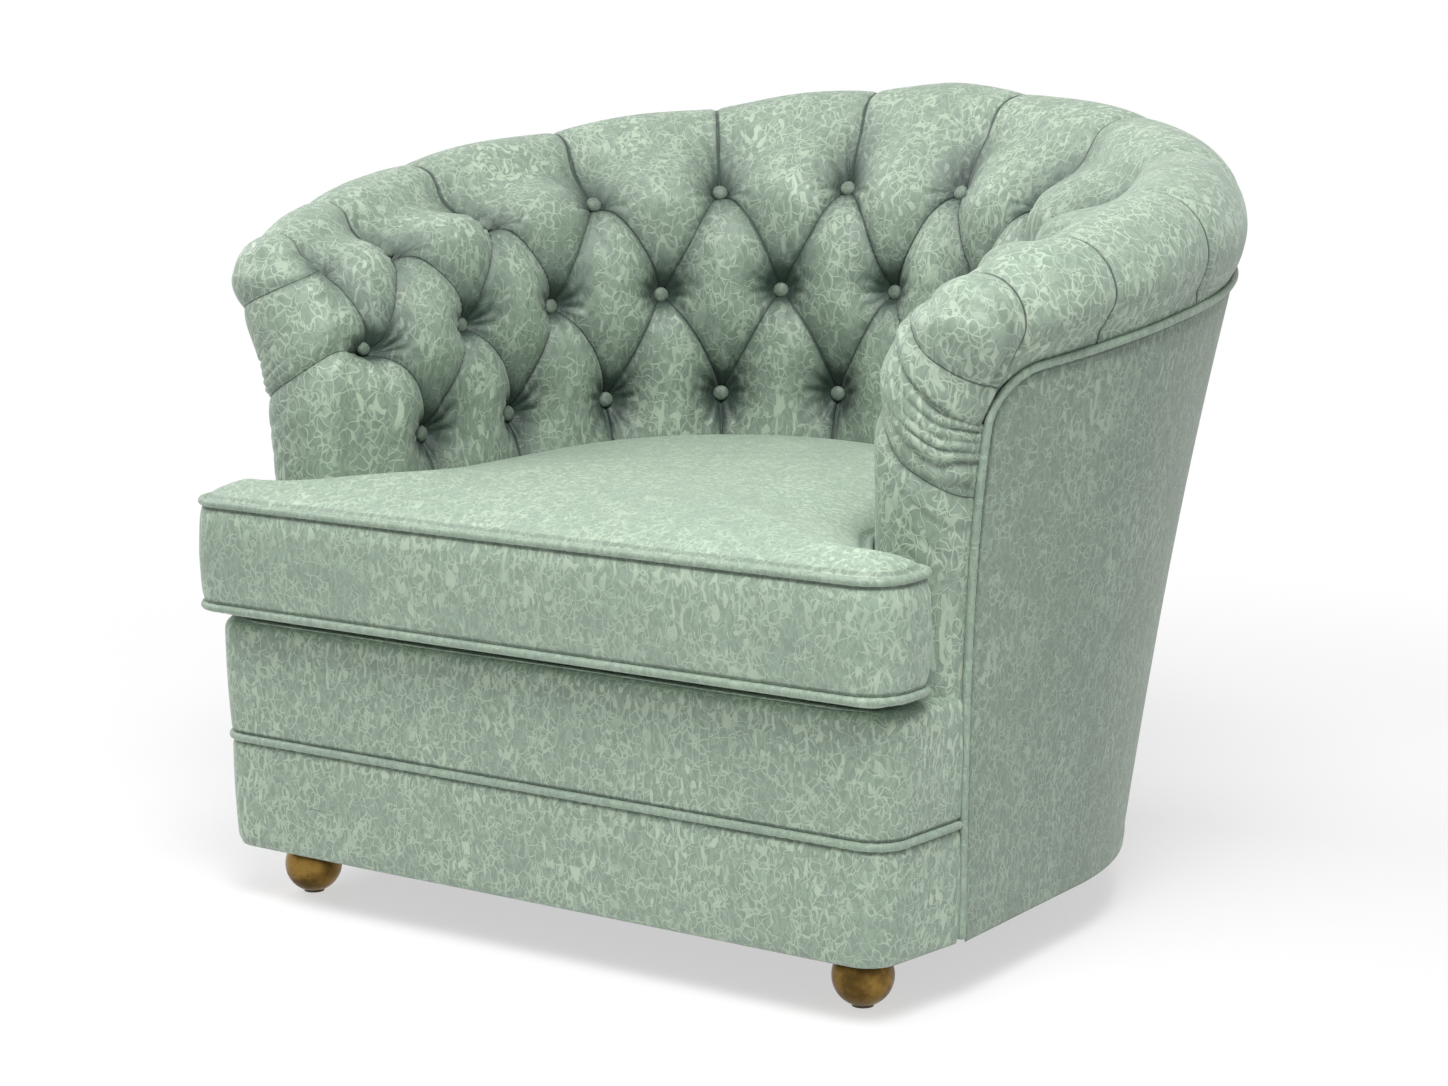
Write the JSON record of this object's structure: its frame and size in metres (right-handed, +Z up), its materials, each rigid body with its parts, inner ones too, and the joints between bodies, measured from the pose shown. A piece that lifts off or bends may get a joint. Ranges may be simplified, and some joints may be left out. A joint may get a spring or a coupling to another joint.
{
  "type": "club chair",
  "caption": "Barrel-back club chair with tufted inside, rolled top, T-shaped loose seat cushion and ball feet.",
  "frame": {"origin": "middle of the overall footprint, on the floor", "axes": "+Z up, the front of the chair faces -Y, +X to the right as seen from the front"},
  "size_m": [0.8928, 0.7776, 0.711],
  "materials": {
    "tufted_cloth": "satin jacquard over padding",
    "outside_cloth": "satin jacquard",
    "cushion_cloth": "satin jacquard",
    "welt_cloth": "satin piping",
    "padding": "cotton felt and foam",
    "burlap": "coarse weave",
    "board": "plain board",
    "hardwood": "unfinished",
    "spring_steel": "oiled",
    "antique_brass": "antique, brushed",
    "nylon": "moulded",
    "cambric": "thin black cloth",
    "zip_tape": "nylon coil zip on its tape",
    "zip_metal": "enamelled"
  },
  "bodies": {
    "chair": {"back_burlap": "burlap", "back_ribs": "hardwood", "back_seat_rail": "hardwood", "base_band_cover": "outside_cloth", "base_band_welt": "welt_cloth", "bottom_row_buttons": "tufted_cloth", "corner_block_screws": "spring_steel", "deck_burlap": "burlap", "deck_cover": "outside_cloth", "deck_padding": "padding", "dust_cover": "cambric", "dust_cover_tacks": "spring_steel", "foot_collars": "antique_brass", "foot_glides": "nylon", "foot_studs": "spring_steel", "foot_t_nuts": "spring_steel", "front_border_cover": "outside_cloth", "front_corner_blocks": "hardwood", "front_edge_roll": "padding", "front_left_ball_foot": "antique_brass", "front_padding": "padding", "front_right_ball_foot": "antique_brass", "front_seat_rail": "hardwood", "inside_back": "tufted_cloth", "left_arm_front": "tufted_cloth", "left_front_post": "hardwood", "left_inside_arm": "tufted_cloth", "left_seat_rail": "hardwood", "middle_row_buttons": "tufted_cloth", "outside_cover": "outside_cloth", "outside_liner": "board", "outside_welt": "welt_cloth", "rear_foot_blocks": "hardwood", "rear_left_ball_foot": "antique_brass", "rear_right_ball_foot": "antique_brass", "right_arm_front": "tufted_cloth", "right_front_post": "hardwood", "right_inside_arm": "tufted_cloth", "right_seat_rail": "hardwood", "seat_springs": "spring_steel", "spring_clips": "spring_steel", "top_rail": "hardwood", "top_row_buttons": "tufted_cloth"},
    "cushion": {"cushion_bottom_panel": "cushion_cloth", "cushion_bottom_welt": "welt_cloth", "cushion_boxing": "cushion_cloth", "cushion_core": "padding", "cushion_top_panel": "cushion_cloth", "cushion_top_welt": "welt_cloth", "cushion_zip": "zip_tape"},
    "slider": {"zip_slider": "zip_metal"}
  },
  "joints": [
    {"name": "cushion_lift", "type": "slide", "parent": "chair", "child": "cushion", "axis": [0, -0.2588, 0.9659], "range_m": [0, 0.48]},
    {"name": "zip_slider_run", "type": "hinge", "parent": "cushion", "child": "slider", "pos_m": [0, -0.0655, 0.3136], "axis": [0, 0, 1], "range_deg": [0, 97]}
  ]
}
